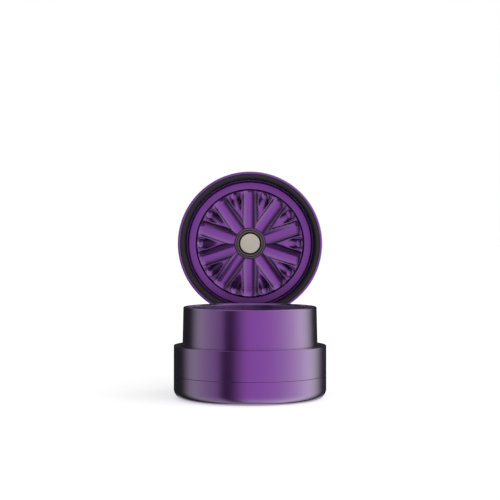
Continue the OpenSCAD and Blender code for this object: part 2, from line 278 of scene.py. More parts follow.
# ---------------------------------------------------------------------------
# Geometry Nodes
# ---------------------------------------------------------------------------


class NodeTree:
    """A Geometry Nodes tree with named inputs, built one node at a time."""

    def __init__(self, name, inputs):
        self.tree = bpy.data.node_groups.new(name, "GeometryNodeTree")
        for label, kind in inputs:
            self.tree.interface.new_socket(name=label, in_out="INPUT", socket_type="NodeSocket" + kind)
        self.tree.interface.new_socket(name="Geometry", in_out="OUTPUT", socket_type="NodeSocketGeometry")
        self.given = self.tree.nodes.new("NodeGroupInput").outputs
        self.add = adder(self.tree)

    def math(self, operation, *values):
        node = self.add("ShaderNodeMath", dict(enumerate(values)), operation=operation)
        return node.outputs["Value"]

    def point(self, x, y, z):
        return self.add("ShaderNodeCombineXYZ", {"X": x, "Y": y, "Z": z}).outputs["Vector"]

    def end(self, geometry, material):
        """Realize Instances and Set Material, then the output."""
        real = self.add("GeometryNodeRealizeInstances", {"Geometry": geometry}).outputs["Geometry"]
        smooth = self.add("GeometryNodeSetShadeSmooth", {"Geometry": real}).outputs["Geometry"]
        clad = self.add("GeometryNodeSetMaterial", {"Geometry": smooth, "Material": material})
        self.add("NodeGroupOutput", {"Geometry": clad.outputs["Geometry"]})
        return self.tree


def polar_sheet(t, columns, rows):
    """A grid of (columns + 1) x rows points; gives it, each point's row and its part of the way round."""
    around = t.math("ADD", columns, 1)
    grid = t.add("GeometryNodeMeshGrid", {"Size X": 1.0, "Size Y": 1.0, "Vertices X": around,
                                          "Vertices Y": rows}).outputs["Mesh"]
    index = t.add("GeometryNodeInputIndex").outputs["Index"]
    row = t.math("FLOORED_MODULO", index, rows)
    column = t.math("FLOOR", t.math("DIVIDE", t.math("ADD", index, 0.5), rows))
    return grid, row, t.math("DIVIDE", column, columns)


def turned_tree():
    """Turns an outline, given as a chain of points in the XZ plane, about the Z axis."""
    t = NodeTree("turned", [("Geometry", "Geometry"), ("Steps", "Int"), ("Sweep", "Float"),
                            ("Material", "Material")])
    outline = t.given["Geometry"]
    count = t.add("GeometryNodeAttributeDomainSize", {"Geometry": outline}).outputs["Point Count"]
    grid, row, part = polar_sheet(t, t.given["Steps"], count)
    place = t.add("GeometryNodeInputPosition").outputs["Position"]
    sample = t.add("GeometryNodeSampleIndex", {"Geometry": outline, "Value": place, "Index": row},
                   data_type="FLOAT_VECTOR")
    parts = t.add("ShaderNodeSeparateXYZ", {"Vector": sample.outputs["Value"]}).outputs
    angle = t.math("MULTIPLY", part, t.given["Sweep"])
    x = t.math("MULTIPLY", parts["X"], t.math("COSINE", angle))
    y = t.math("MULTIPLY", parts["X"], t.math("SINE", angle))
    sheet = t.add("GeometryNodeSetPosition", {"Geometry": grid, "Position": t.point(x, y, parts["Z"])})
    joined = t.add("GeometryNodeMergeByDistance", {"Geometry": sheet.outputs["Geometry"],
                                                   "Distance": MERGE_DISTANCE})
    return t.end(joined.outputs["Geometry"], t.given["Material"])


def fluted_tree():
    """A bored disc whose top face has long level flutes and short sloping ones between them."""
    t = NodeTree("fluted_disc", [
        ("Flutes", "Int"), ("Cutter Radius", "Float"), ("Flute Depth", "Float"), ("Flute End", "Float"),
        ("Short Cutter Radius", "Float"), ("Short Start", "Float"), ("Short Slope", "Float"),
        ("Short Length", "Float"), ("Bore Radius", "Float"), ("Disc Radius", "Float"),
        ("Thickness", "Float"), ("Edge Round", "Float"), ("Cusp Round", "Float"), ("Steps", "Int"),
        ("Rows", "Int"), ("Material", "Material")])
    g = t.given
    m = t.math
    rows = m("ADD", g["Rows"], 3)
    grid, row, part = polar_sheet(t, g["Steps"], rows)
    # Rows 1 to Rows lie on the face, closer together towards the edge; the others close the back.
    edge_crowding = 1.5
    last = m("SUBTRACT", g["Rows"], 1)
    along = t.add("ShaderNodeClamp", {"Value": m("DIVIDE", m("SUBTRACT", row, 1), last)}).outputs["Result"]
    spread = m("SUBTRACT", 1, m("POWER", m("SUBTRACT", 1, along), edge_crowding))
    on_back_bore = m("GREATER_THAN", row, m("ADD", g["Rows"], 1.5))
    spread = m("MULTIPLY", spread, m("SUBTRACT", 1, on_back_bore))
    width = m("SUBTRACT", g["Disc Radius"], g["Bore Radius"])
    radius = m("MULTIPLY_ADD", width, spread, g["Bore Radius"])
    angle = m("MULTIPLY", part, tau)

    def across(offset):
        """Distances along and across the nearest flute, the first of them turned by offset pitches."""
        pitch = m("DIVIDE", tau, g["Flutes"])
        turned = m("SUBTRACT", angle, m("MULTIPLY", pitch, offset))
        shifted = m("ADD", turned, m("MULTIPLY", pitch, 0.5))
        local = m("SUBTRACT", m("FLOORED_MODULO", shifted, pitch), m("MULTIPLY", pitch, 0.5))
        return m("MULTIPLY", radius, m("COSINE", local)), m("MULTIPLY", radius, m("SINE", local))

    def root(value):
        return m("SQRT", m("MAXIMUM", value, 0))

    def square(value):
        return m("MULTIPLY", value, value)

    # Long flutes: a level cylinder that ends in a ball.
    cutter = g["Cutter Radius"]
    x, y = across(0)
    past = m("MAXIMUM", m("SUBTRACT", x, g["Flute End"]), 0)
    reach2 = m("SUBTRACT", m("SUBTRACT", square(cutter), square(y)), square(past))
    long_depth = m("SUBTRACT", root(reach2), m("SUBTRACT", cutter, g["Flute Depth"]))
    # Short flutes: a smaller cutter on a slope that starts at the face, which ends in a ball too.
    cutter = g["Short Cutter Radius"]
    x, y = across(0.5)
    slope_sin = m("SINE", g["Short Slope"])
    slope_cos = m("COSINE", g["Short Slope"])
    axis_x = m("MULTIPLY_ADD", cutter, slope_sin, g["Short Start"])
    axis_d = m("MULTIPLY", m("MULTIPLY", cutter, slope_cos), -1)
    section = root(m("SUBTRACT", square(cutter), square(y)))
    run = m("SUBTRACT", x, axis_x)
    in_cylinder = m("ADD", axis_d, m("DIVIDE", m("MULTIPLY_ADD", run, slope_sin, section), slope_cos))
    level_run = m("MULTIPLY", run, slope_cos)
    reached = m("MULTIPLY_ADD", m("SUBTRACT", in_cylinder, axis_d), slope_sin, level_run)
    in_ball = m("GREATER_THAN", reached, g["Short Length"])
    ball_x = m("MULTIPLY_ADD", g["Short Length"], slope_cos, axis_x)
    ball_d = m("MULTIPLY_ADD", g["Short Length"], slope_sin, axis_d)
    from_ball = m("SUBTRACT", x, ball_x)
    ball_reach2 = m("SUBTRACT", m("SUBTRACT", square(cutter), square(y)), square(from_ball))
    ball_depth = m("ADD", ball_d, root(ball_reach2))
    blend = m("SUBTRACT", ball_depth, in_cylinder)
    short_depth = m("MULTIPLY_ADD", blend, in_ball, in_cylinder)
    # The outer edge is rounded off.
    edge = g["Edge Round"]
    over = m("MAXIMUM", m("SUBTRACT", radius, m("SUBTRACT", g["Disc Radius"], edge)), 0)
    edge_depth = m("SUBTRACT", edge, root(m("SUBTRACT", square(edge), square(over))))
    cut = m("SMOOTH_MAX", long_depth, short_depth, g["Cusp Round"])
    face_depth = m("MAXIMUM", m("SMOOTH_MAX", cut, 0, g["Cusp Round"]), edge_depth)
    on_face = m("MULTIPLY", m("GREATER_THAN", row, 0.5), m("LESS_THAN", row, m("ADD", g["Rows"], 0.5)))
    fall = m("SUBTRACT", face_depth, g["Thickness"])
    depth = m("MULTIPLY_ADD", fall, on_face, g["Thickness"])
    x = m("MULTIPLY", radius, m("COSINE", angle))
    y = m("MULTIPLY", radius, m("SINE", angle))
    sheet = t.add("GeometryNodeSetPosition", {"Geometry": grid, "Position": t.point(x, y, depth)})
    joined = t.add("GeometryNodeMergeByDistance", {"Geometry": sheet.outputs["Geometry"],
                                                   "Distance": MERGE_DISTANCE})
    return t.end(joined.outputs["Geometry"], g["Material"])


def thread_tree():
    """A pointed thread that winds round the Z axis and fades out at both ends."""
    t = NodeTree("thread", [("Radius", "Float"), ("Depth", "Float"), ("Pitch", "Float"),
                            ("Start", "Float"), ("Turns", "Float"), ("Material", "Material")])
    g = t.given
    height = t.math("MULTIPLY", g["Pitch"], g["Turns"])
    helix = t.add("GeometryNodeCurveSpiral", {
        "Resolution": 96, "Rotations": g["Turns"], "Start Radius": g["Radius"], "End Radius": g["Radius"],
        "Height": height}).outputs["Curve"]
    factor = t.add("GeometryNodeSplineParameter").outputs["Factor"]
    fade_in = t.math("MULTIPLY", factor, 8)
    fade_out = t.math("MULTIPLY", t.math("SUBTRACT", 1, factor), 8)
    size = t.math("MAXIMUM", t.math("MINIMUM", t.math("MINIMUM", fade_in, fade_out), 1), 0.05)
    sized = t.add("GeometryNodeSetCurveRadius", {"Curve": helix, "Radius": size}).outputs["Curve"]
    upright = t.add("GeometryNodeSetCurveNormal", {"Curve": sized}).outputs["Curve"]
    profile = t.add("GeometryNodeCurvePrimitiveCircle", {"Resolution": 4, "Radius": g["Depth"]})
    ridge = t.add("GeometryNodeCurveToMesh", {"Curve": upright, "Profile Curve": profile.outputs["Curve"],
                                              "Fill Caps": True}).outputs["Mesh"]
    raised = t.add("GeometryNodeTransform", {"Geometry": ridge, "Translation": t.point(0, 0, g["Start"])})
    return t.end(raised.outputs["Geometry"], g["Material"])


def weave_tree():
    """A round of plain-woven wire: two sets of wavy wires that pass over and under each other."""
    t = NodeTree("woven_wire", [("Radius", "Float"), ("Pitch", "Float"), ("Wire Radius", "Float"),
                                ("Height", "Float"), ("Material", "Material")])
    g = t.given
    m = t.math
    half_count = m("CEIL", m("DIVIDE", g["Radius"], g["Pitch"]))
    count = m("MULTIPLY_ADD", half_count, 2, 1)
    reach = m("MULTIPLY", half_count, g["Pitch"])
    sheet = t.add("GeometryNodeMeshGrid", {
        "Size X": m("MULTIPLY", reach, 2), "Size Y": m("MULTIPLY", reach, 2),
        "Vertices X": m("MULTIPLY_ADD", half_count, 4, 1), "Vertices Y": count}).outputs["Mesh"]
    # Only the grid's lines along X are wires.
    ends = t.add("GeometryNodeInputMeshEdgeVertices").outputs
    y_of = [t.add("ShaderNodeSeparateXYZ", {"Vector": ends[name]}).outputs["Y"]
            for name in ("Position 1", "Position 2")]
    climb = m("ABSOLUTE", m("SUBTRACT", y_of[0], y_of[1]))
    is_cross = m("GREATER_THAN", climb, m("MULTIPLY", g["Pitch"], 0.1))
    lines = t.add("GeometryNodeDeleteGeometry", {"Geometry": sheet, "Selection": is_cross},
                  domain="EDGE", mode="EDGE_FACE").outputs["Geometry"]
    place = t.add("GeometryNodeInputPosition").outputs["Position"]
    distance = t.add("ShaderNodeVectorMath", {0: place}, operation="LENGTH").outputs["Value"]
    inside = t.add("GeometryNodeDeleteGeometry", {
        "Geometry": lines, "Selection": m("GREATER_THAN", distance, g["Radius"])}, domain="POINT")
    wave_place = t.add("ShaderNodeSeparateXYZ", {"Vector": place}).outputs
    phase = m("DIVIDE", m("ADD", wave_place["X"], wave_place["Y"]), g["Pitch"])
    wave = m("MULTIPLY", m("COSINE", m("MULTIPLY", phase, pi)), g["Wire Radius"])
    wavy = t.add("GeometryNodeSetPosition", {"Geometry": inside.outputs["Geometry"],
                                             "Offset": t.point(0, 0, wave)}).outputs["Geometry"]
    curves = t.add("GeometryNodeMeshToCurve", {"Mesh": wavy}).outputs["Curve"]
    section = t.add("GeometryNodeCurvePrimitiveCircle", {"Resolution": 5, "Radius": g["Wire Radius"]})
    warp = t.add("GeometryNodeCurveToMesh", {"Curve": curves, "Profile Curve": section.outputs["Curve"],
                                             "Fill Caps": True}).outputs["Mesh"]
    weft = t.add("GeometryNodeTransform", {"Geometry": warp,
                                           "Rotation": (0, pi, pi / 2)}).outputs["Geometry"]
    both = t.add("GeometryNodeJoinGeometry")
    for wires in (warp, weft):
        t.tree.links.new(wires, both.inputs["Geometry"])
    raised = t.add("GeometryNodeTransform", {"Geometry": both.outputs["Geometry"],
                                             "Translation": t.point(0, 0, g["Height"])})
    return t.end(raised.outputs["Geometry"], g["Material"])


def slotted_tree():
    """Cuts a ring of radial slots with round ends through a plate, and a round hole between each two."""
    t = NodeTree("slotted_plate", [
        ("Geometry", "Geometry"), ("Count", "Int"), ("Slot Width", "Float"), ("Slot Start", "Float"),
        ("Slot End", "Float"), ("Hole Radius", "Float"), ("Hole Ring", "Float"), ("Depth", "Float"),
        ("Material", "Material")])
    g = t.given

    def peg(radius, distance):
        """An upright cylinder at a distance from the axis."""
        made = t.add("GeometryNodeMeshCylinder", {"Vertices": 24, "Radius": radius, "Depth": g["Depth"]})
        return t.add("GeometryNodeTransform", {"Geometry": made.outputs["Mesh"],
                                               "Translation": t.point(distance, 0, 0)}).outputs["Geometry"]

    half_width = t.math("MULTIPLY", g["Slot Width"], 0.5)
    ends = t.add("GeometryNodeJoinGeometry")
    for distance in (g["Slot Start"], g["Slot End"]):
        t.tree.links.new(peg(half_width, distance), ends.inputs["Geometry"])
    slot = t.add("GeometryNodeConvexHull", {"Geometry": ends.outputs["Geometry"]}).outputs["Convex Hull"]
    pitch = t.math("DIVIDE", tau, g["Count"])
    hole_turn = t.point(0, 0, t.math("MULTIPLY", pitch, 0.5))
    hole = t.add("GeometryNodeTransform", {"Geometry": peg(g["Hole Radius"], g["Hole Ring"]),
                                           "Rotation": hole_turn}).outputs["Geometry"]
    cutter = t.add("GeometryNodeJoinGeometry")
    for part in (slot, hole):
        t.tree.links.new(part, cutter.inputs["Geometry"])
    places = t.add("GeometryNodeMeshLine", {"Count": g["Count"], "Offset": (0, 0, 0)}).outputs["Mesh"]
    index = t.add("GeometryNodeInputIndex").outputs["Index"]
    spread = t.add("GeometryNodeInstanceOnPoints", {
        "Points": places, "Instance": cutter.outputs["Geometry"],
        "Rotation": t.point(0, 0, t.math("MULTIPLY", index, pitch))}).outputs["Instances"]
    real = t.add("GeometryNodeRealizeInstances", {"Geometry": spread}).outputs["Geometry"]
    cut = t.add("GeometryNodeMeshBoolean", {"Mesh 1": g["Geometry"], "Mesh 2": real},
                operation="DIFFERENCE", solver="MANIFOLD").outputs["Mesh"]
    return t.end(cut, g["Material"])


TURNED = turned_tree()
FLUTED = fluted_tree()
SLOTTED = slotted_tree()
THREAD = thread_tree()
WEAVE = weave_tree()


def grow(tree, values, seed=None):
    """The mesh that a tree makes from its named inputs, and from a seed mesh where it takes one."""
    holder = bpy.data.objects.new("holder", seed or bpy.data.meshes.new("holder"))
    bpy.context.scene.collection.objects.link(holder)
    modifier = holder.modifiers.new("tree", "NODES")
    modifier.node_group = tree
    for item in tree.interface.items_tree:
        if item.in_out == "INPUT" and item.name in values:
            modifier[item.identifier] = values[item.name]
    graph = bpy.context.evaluated_depsgraph_get()
    mesh = bpy.data.meshes.new_from_object(holder.evaluated_get(graph), depsgraph=graph)
    holder.modifiers.clear()
    bpy.data.objects.remove(holder)
    return mesh


# ---------------------------------------------------------------------------
# Outlines and pieces
# ---------------------------------------------------------------------------


def rounded(corners, default=0.12 * MM):
    """An outline of (radius, height[, rounding]) corners, each corner replaced by a short curve."""
    points = []
    for i, corner in enumerate(corners):
        here = Vector(corner[:2])
        before = Vector(corners[i - 1][:2])
        after = Vector(corners[(i + 1) % len(corners)][:2])
        rounding = corner[2] if len(corner) > 2 else default
        to_before, to_after = before - here, after - here
        on_axis = here.x < 1e-9
        if rounding == 0 or on_axis:
            points.append(here)
            continue
        half = to_before.angle(to_after) / 2
        back = rounding / max(0.05, abs(sin(half) / cos(half)))
        back = min(back, 0.48 * to_before.length, 0.48 * to_after.length)
        start, end = here + to_before.normalized() * back, here + to_after.normalized() * back
        steps = SHORT_ARC_STEPS if rounding < 1 * MM else LONG_ARC_STEPS
        for step in range(steps + 1):
            k = step / steps
            points.append(arc_point(start, here, end, k))
    return points


def arc_point(start, corner, end, k):
    """A point on the circle that touches both sides of a corner, at k from 0 to 1."""
    half = (start - corner).angle(end - corner) / 2
    middle = (start + end) / 2
    chord = (end - start).length / 2
    outward = corner - middle
    if outward.length < 1e-9 or chord < 1e-9:
        return start.lerp(end, k)
    radius = chord / cos(half)
    centre = middle - outward.normalized() * radius * sin(half)
    sweep = pi - 2 * half
    turn = sweep * (k - 0.5)
    along = (end - start).normalized()
    return centre + outward.normalized() * radius * cos(turn) + along * radius * sin(turn)


def tidy(mesh, sharp_degrees=40):
    """Closes seams, turns faces outwards and marks the real edges."""
    work = bmesh.new()
    work.from_mesh(mesh)
    bmesh.ops.remove_doubles(work, verts=work.verts, dist=0.0005 * MM)
    loose = [e for e in work.edges if e.is_boundary]
    if loose:
        bmesh.ops.holes_fill(work, edges=loose)
    bmesh.ops.recalc_face_normals(work, faces=work.faces)
    work.to_mesh(mesh)
    work.free()
    mesh.shade_smooth()
    mesh.set_sharp_from_angle(angle=radians(sharp_degrees))
    return mesh


def turned(outline, material, steps=TURN_STEPS, sweep=tau):
    """The mesh of a closed outline turned about the Z axis."""
    chain = bpy.data.meshes.new("outline")
    points = [(p.x, 0, p.y) for p in outline]
    points.append(points[0])
    chain.from_pydata(points, [(i, i + 1) for i in range(len(points) - 1)], [])
    return tidy(grow(TURNED, {"Steps": steps, "Sweep": sweep, "Material": material}, chain))


def thread(radius, start, turns, depth):
    """The mesh of a thread whose middle line winds at the given radius."""
    values = {"Radius": radius, "Depth": depth, "Pitch": THREAD_PITCH, "Start": start, "Turns": turns,
              "Material": body_purple}
    return tidy(grow(THREAD, values), 25)


def spigot_thread(core, end, top):
    """The thread on a spigot from its end up to where its thread stops."""
    return thread(core, end + THREAD_START, (top - end - THREAD_RUNOUT) / THREAD_PITCH, THREAD_DEPTH)


def socket_thread(wall, floor, turns):
    """The thread inside a socket."""
    return thread(wall + SOCKET_THREAD_INSET, floor + SOCKET_THREAD_START, turns, SOCKET_THREAD_DEPTH)


def piece(name, body, nodes, meshes, material, place=None, weighted=True):
    """One finished object from its meshes, riding on its body in place of its nodes."""
    work = bmesh.new()
    for mesh in meshes:
        work.from_mesh(mesh)
    mesh = bpy.data.meshes.new(name)
    work.to_mesh(mesh)
    work.free()
    mesh.materials.clear()
    mesh.materials.append(material)
    if place:
        mesh.transform(place)
    made = bpy.data.objects.new(name, mesh)
    bpy.context.scene.collection.objects.link(made)
    if weighted:
        normals = made.modifiers.new("flat faces stay flat", "WEIGHTED_NORMAL")
        normals.keep_sharp = True
        normals.weight = 100
    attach(made, body)
    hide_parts(*nodes)
    return made


def make_cup():
    outline = rounded([
        (0, 0), (BODY_R, 0, EDGE_R), (BODY_R, CUP_TOP, SEAM_ROUND), (CUP_MOUTH_R, CUP_TOP, SEAM_ROUND),
        (CUP_MOUTH_R, CUP_THREAD_Z), (CUP_INNER_R, CUP_THREAD_Z), (CUP_INNER_R, CUP_FLOOR, 1.5 * MM),
        (0, CUP_FLOOR)])
    winding = socket_thread(CUP_MOUTH_R, CUP_THREAD_Z, 1.9)
    piece("cup_shell", "cup", ["bottom_cup"], [turned(outline, body_purple), winding], body_purple)


def make_seal(name, body, node):
    """A rubber ring with the fine flash line that moulding leaves round it."""
    box_low, box_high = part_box(node)
    section = (box_high.z - box_low.z) / 2
    middle_r = box_high.x - section
    middle_z = (box_low.z + box_high.z) / 2
    flash = 0.02 * MM
    corners = 32
    outline = []
    for i in range(corners):
        angle = tau * i / corners
        on_flash = i % (corners // 2) == 0
        r = section if on_flash else section - flash
        outline.append(Vector((middle_r + r * cos(angle), middle_z + r * sin(angle))))
    piece(name, body, [node], [turned(outline, seal_rubber, RING_STEPS)], seal_rubber)


def make_chamber():
    thread_top = CUP_TOP - 1.25 * MM
    core = SPIGOT_R - THREAD_DEPTH
    groove_r = SPIGOT_R - 1.35 * MM
    seal_low = low("cup_o_ring").z - SEAL_SLACK
    screen_top = high("screen_frame").z + 0.05 * MM
    snap_low = low("screen_snap_ring").z - SNAP_SLACK
    snap_high = high("screen_snap_ring").z + SNAP_SLACK
    snap_r = SCREEN_SEAT_R + 0.5 * MM
    snap_edge = 0.04 * MM
    outline = rounded([
        (SCREEN_SEAT_R, CHAMBER_LOW), (core, CHAMBER_LOW, 0.2 * MM), (core, thread_top),
        (SPIGOT_R, thread_top, CRISP), (SPIGOT_R, seal_low, CRISP), (groove_r, seal_low, CRISP),
        (groove_r, SHOULDER_Z), (BODY_R, SHOULDER_Z, SEAM_ROUND), (BODY_R, LEDGE_Z, RIM_ROUND),
        (NECK_SOCKET_R, LEDGE_Z, RIM_ROUND), (NECK_SOCKET_R, NECK_SOCKET_Z), (CHAMBER_R, NECK_SOCKET_Z),
        (CHAMBER_R, screen_top), (SCREEN_SEAT_R, screen_top), (SCREEN_SEAT_R, snap_high, snap_edge),
        (snap_r, snap_high, snap_edge), (snap_r, snap_low, snap_edge), (SCREEN_SEAT_R, snap_low, snap_edge)])
    outer = spigot_thread(core, CHAMBER_LOW, thread_top)
    inner = socket_thread(NECK_SOCKET_R, NECK_SOCKET_Z, 2.0)
    piece("chamber_shell", "chamber", ["catch_chamber"], [turned(outline, body_purple), outer, inner],
          body_purple)


def make_neck():
    core = NECK_R - THREAD_DEPTH
    seal_low, seal_high = low("neck_o_ring").z - SEAL_SLACK, high("neck_o_ring").z + SEAL_SLACK
    groove_r = NECK_R - 1.1 * MM
    thread_top = seal_low - 0.35 * MM
    rim_r = NECK_R - NECK_TAPER
    lip_z = STATOR_LOW - 1.2 * MM       # underside of the lip that carries the stator
    lip_r = NECK_BORE_R - 2 * MM
    snap_low = low("stator_snap_ring").z - SNAP_SLACK
    snap_high = high("stator_snap_ring").z + SNAP_SLACK
    lower_r = NECK_BORE_R - 0.4 * MM
    snap_r = NECK_BORE_R + 0.7 * MM
    outline = rounded([
        (lower_r, NECK_LOW, 0.3 * MM), (core, NECK_LOW, 0.2 * MM), (core, thread_top),
        (NECK_R, thread_top, CRISP), (NECK_R, seal_low, CRISP), (groove_r, seal_low, CRISP),
        (groove_r, seal_high, CRISP), (NECK_R, seal_high, CRISP), (NECK_R, LEDGE_Z, CRISP),
        (rim_r, NECK_TOP - RIM_BEVEL, RIM_ROUND), (rim_r - RIM_BEVEL, NECK_TOP, RIM_ROUND),
        (NECK_BORE_R + MOUTH_BEVEL, NECK_TOP, RIM_ROUND), (NECK_BORE_R, NECK_TOP - MOUTH_BEVEL, RIM_ROUND),
        (NECK_BORE_R, snap_high, CRISP), (snap_r, snap_high, CRISP), (snap_r, snap_low, CRISP),
        (NECK_BORE_R, snap_low, CRISP), (NECK_BORE_R, STATOR_LOW, CRISP),
        (lip_r, STATOR_LOW), (lip_r, lip_z), (lower_r, lip_z)])
    winding = spigot_thread(core, NECK_LOW, thread_top)
    piece("neck_shell", "neck", ["grinding_chamber"], [turned(outline, body_purple), winding], body_purple)


def make_sieve():
    frame_low, frame_high = low("screen_frame").z, high("screen_frame").z
    outer = high("screen_frame").x
    inner = SCREEN_SEAT_R - 2 * MM
    mesh_low, mesh_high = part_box("screen_mesh")
    groove_r = mesh_high.x + 0.05 * MM
    slack = 0.025 * MM
    groove_edge = 0.03 * MM
    outline = rounded([
        (inner, frame_low), (outer, frame_low), (outer, frame_high), (inner, frame_high),
        (inner, mesh_high.z + slack, groove_edge), (groove_r, mesh_high.z + slack, 0),
        (groove_r, mesh_low.z - slack, 0), (inner, mesh_low.z - slack, groove_edge)], 0.08 * MM)
    piece("sieve_frame", "chamber", ["screen_frame"], [turned(outline, plain_steel)], plain_steel)
    wire_r = (mesh_high.z - mesh_low.z) / 4
    values = {"Radius": mesh_high.x, "Pitch": 0.9 * MM, "Wire Radius": wire_r,
              "Height": (mesh_low.z + mesh_high.z) / 2, "Material": wire_steel}
    weave = grow(WEAVE, values)
    weave.shade_smooth()
    piece("sieve_weave", "chamber", ["screen_mesh"], [weave], wire_steel, weighted=False)


def make_spring_ring(name, body, node):
    """An open ring with an eye at each end."""
    box_low, box_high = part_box(node)
    outer = box_high.x
    inner = outer - SPRING_RING_WIDTH
    eye_ring_r = inner + 0.1 * MM
    eye_r, hole_r, eye_angle = 1.2 * MM, 0.6 * MM, radians(7)
    band = rounded([(inner, box_low.z), (outer, box_low.z), (outer, box_high.z), (inner, box_high.z)],
                   0.1 * MM)
    mouth = radians(5)
    arc = turned(band, plain_steel, RING_STEPS, tau - 2 * mouth)
    arc.transform(Matrix.Rotation(mouth - pi / 2, 4, "Z"))
    eye_band = rounded([(hole_r, box_low.z), (eye_r, box_low.z), (eye_r, box_high.z), (hole_r, box_high.z)],
                       0.08 * MM)
    meshes = [arc]
    for side in (-1, 1):
        eye = turned(eye_band, plain_steel, EYE_STEPS)
        turn = side * eye_angle - pi / 2
        eye.transform(Matrix.Translation((eye_ring_r * cos(turn), eye_ring_r * sin(turn), 0)))
        meshes.append(eye)
    piece(name, body, [node], meshes, plain_steel)


def fluted_disc(bore, outer, thickness, edge, steps, rows, material):
    """A fluted disc's mesh: face at z = 0, body above it."""
    values = {"Flutes": FLUTES, "Cutter Radius": CUTTER_R, "Flute Depth": FLUTE_DEPTH,
              "Flute End": FLUTE_END, "Short Cutter Radius": SHORT_CUTTER_R, "Short Start": SHORT_START,
              "Short Slope": SHORT_SLOPE, "Short Length": SHORT_LENGTH, "Bore Radius": bore,
              "Disc Radius": outer, "Thickness": thickness, "Edge Round": edge, "Cusp Round": CUSP_ROUND,
              "Steps": steps, "Rows": rows, "Material": material}
    return tidy(grow(FLUTED, values), 50)


def make_rotor():
    disc = fluted_disc(HUB_BORE_R, ROTOR_R, ROTOR_BACK - ROTOR_FACE, 0.2 * MM, 720, 64, rotor_purple)
    disc.transform(Matrix.Rotation(pi / 2, 4, "Z"))
    disc.transform(Matrix.Translation((0, 0, ROTOR_FACE)))
    piece("rotor_disc", "lid", ["rotor"], [disc], rotor_purple, STANDING)


def make_stator():
    blank = fluted_disc(HUB_BORE_R, STATOR_R, STATOR_TOP - STATOR_LOW, 0.3 * MM, 480, 44, stator_purple)
    values = {"Count": FLUTES, "Slot Width": SLOT_WIDTH, "Slot Start": SLOT_START, "Slot End": SLOT_END,
              "Hole Radius": HOLE_R, "Hole Ring": HOLE_RING_R, "Depth": 20 * MM, "Material": stator_purple}
    disc = tidy(grow(SLOTTED, values, blank), 50)
    disc.transform(Matrix.Translation((0, 0, STATOR_TOP)) @ Matrix.Rotation(pi, 4, "X"))
    inner, flange_top = STATOR_R - 0.6 * MM, STATOR_LOW + FLANGE_T
    flange = turned(rounded([(inner, STATOR_LOW), (FLANGE_R, STATOR_LOW), (FLANGE_R, flange_top),
                             (inner, flange_top)]), stator_purple)
    web_r, web_top = HUB_BORE_R + 0.5 * MM, STATOR_LOW + WEB_T
    web = turned(rounded([(SCREW_HOLE_R, STATOR_LOW), (web_r, STATOR_LOW), (web_r, web_top),
                          (SCREW_HOLE_R, web_top)]), stator_purple)
    piece("stator_plate", "neck", ["stator"], [disc, flange, web], stator_purple)


def groove(inner, outer):
    """The corners of a pointed groove's floor, from its outer wall inwards."""
    middle = (inner + outer) / 2
    shoulder = GROOVE_DEPTH - (outer - inner) / 2 * GROOVE_SLOPE
    edge = 0.15 * MM
    return [(outer, shoulder, edge), (middle, GROOVE_DEPTH, edge), (inner, shoulder, edge)]


def make_lid():
    outer_groove = groove(LAND_OUT_R, SKIRT_R)
    inner_groove = groove(GROOVE_IN_R, LAND_IN_R)
    shoulder = inner_groove[2][1]
    # The rotor's seat cuts off the inner groove's inner shoulder.
    seat_edge = (GROOVE_IN_R + (ROTOR_SEAT - shoulder) / GROOVE_SLOPE, ROTOR_SEAT, CRISP)
    outline = rounded([
        (0, LID_H), (BODY_R, LID_H, EDGE_R), (BODY_R, 0, 0.8 * MM), (GLIDE_SEAT_R, 0, CRISP),
        (GLIDE_SEAT_R, GLIDE_SEAT_H, CRISP), (SKIRT_R, GLIDE_SEAT_H, 0.1 * MM), *outer_groove,
        (LAND_OUT_R, LAND_DEPTH), (LAND_IN_R, LAND_DEPTH), *inner_groove[:2], seat_edge, (0, ROTOR_SEAT)])
    piece("lid_shell", "lid", ["lid_cap"], [turned(outline, lid_purple)], lid_purple,
          STANDING)


def make_glide_ring():
    outer = high("lid_glide_ring").x
    sleeve_end = high("lid_glide_ring").y - LID_Y
    flange = GLIDE_SEAT_H - GLIDE_GAP
    outline = rounded([
        (SLEEVE_R, 0, 0.45 * MM), (outer, 0, 0.15 * MM), (outer, flange), (SLEEVE_R + SLEEVE_T, flange),
        (SLEEVE_R + SLEEVE_T, sleeve_end, 0.1 * MM), (SLEEVE_R, sleeve_end, 0.1 * MM)])
    piece("glide_band", "glide_ring", ["lid_glide_ring"], [turned(outline, glide_polymer)], glide_polymer,
          STANDING)


def make_rotor_hub():
    face = low("rotor_magnet_cup").y - LID_Y
    back = high("rotor_magnet_cup").y - LID_Y
    floor = face + 2.4 * MM
    sink_r, sink_depth, sink_edge = 2.85 * MM, 1.3 * MM, 0.03 * MM
    line_r = (HUB_R + MAGNET_MOUTH_R) / 2
    line_half, line_depth, line_edge = 0.2 * MM, 0.4 * MM, 0.04 * MM
    outline = rounded([
        (SCREW_HOLE_R, back), (HUB_R, back, 0.2 * MM), (HUB_R, face, 0.18 * MM),
        (line_r + line_half, face, line_edge), (line_r, face + line_depth, line_edge),
        (line_r - line_half, face, line_edge), (MAGNET_MOUTH_R, face),
        (MAGNET_SEAT_R, face + MOUTH_TAPER_H), (MAGNET_SEAT_R, floor), (sink_r, floor, sink_edge),
        (SCREW_HOLE_R, floor + sink_depth, sink_edge)])
    piece("rotor_hub", "lid", ["rotor_magnet_cup"], [turned(outline, hub_steel)], hub_steel,
          STANDING)
    magnet_low = low("rotor_magnet").y - LID_Y
    magnet_high = high("rotor_magnet").y - LID_Y
    disc = rounded([(0, magnet_low), (MAGNET_R, magnet_low, 0.3 * MM), (MAGNET_R, magnet_high, 0.2 * MM),
                    (0, magnet_high)])
    piece("rotor_magnet_disc", "lid", ["rotor_magnet"], [turned(disc, magnet_nickel, SMALL_STEPS)],
          magnet_nickel, STANDING)


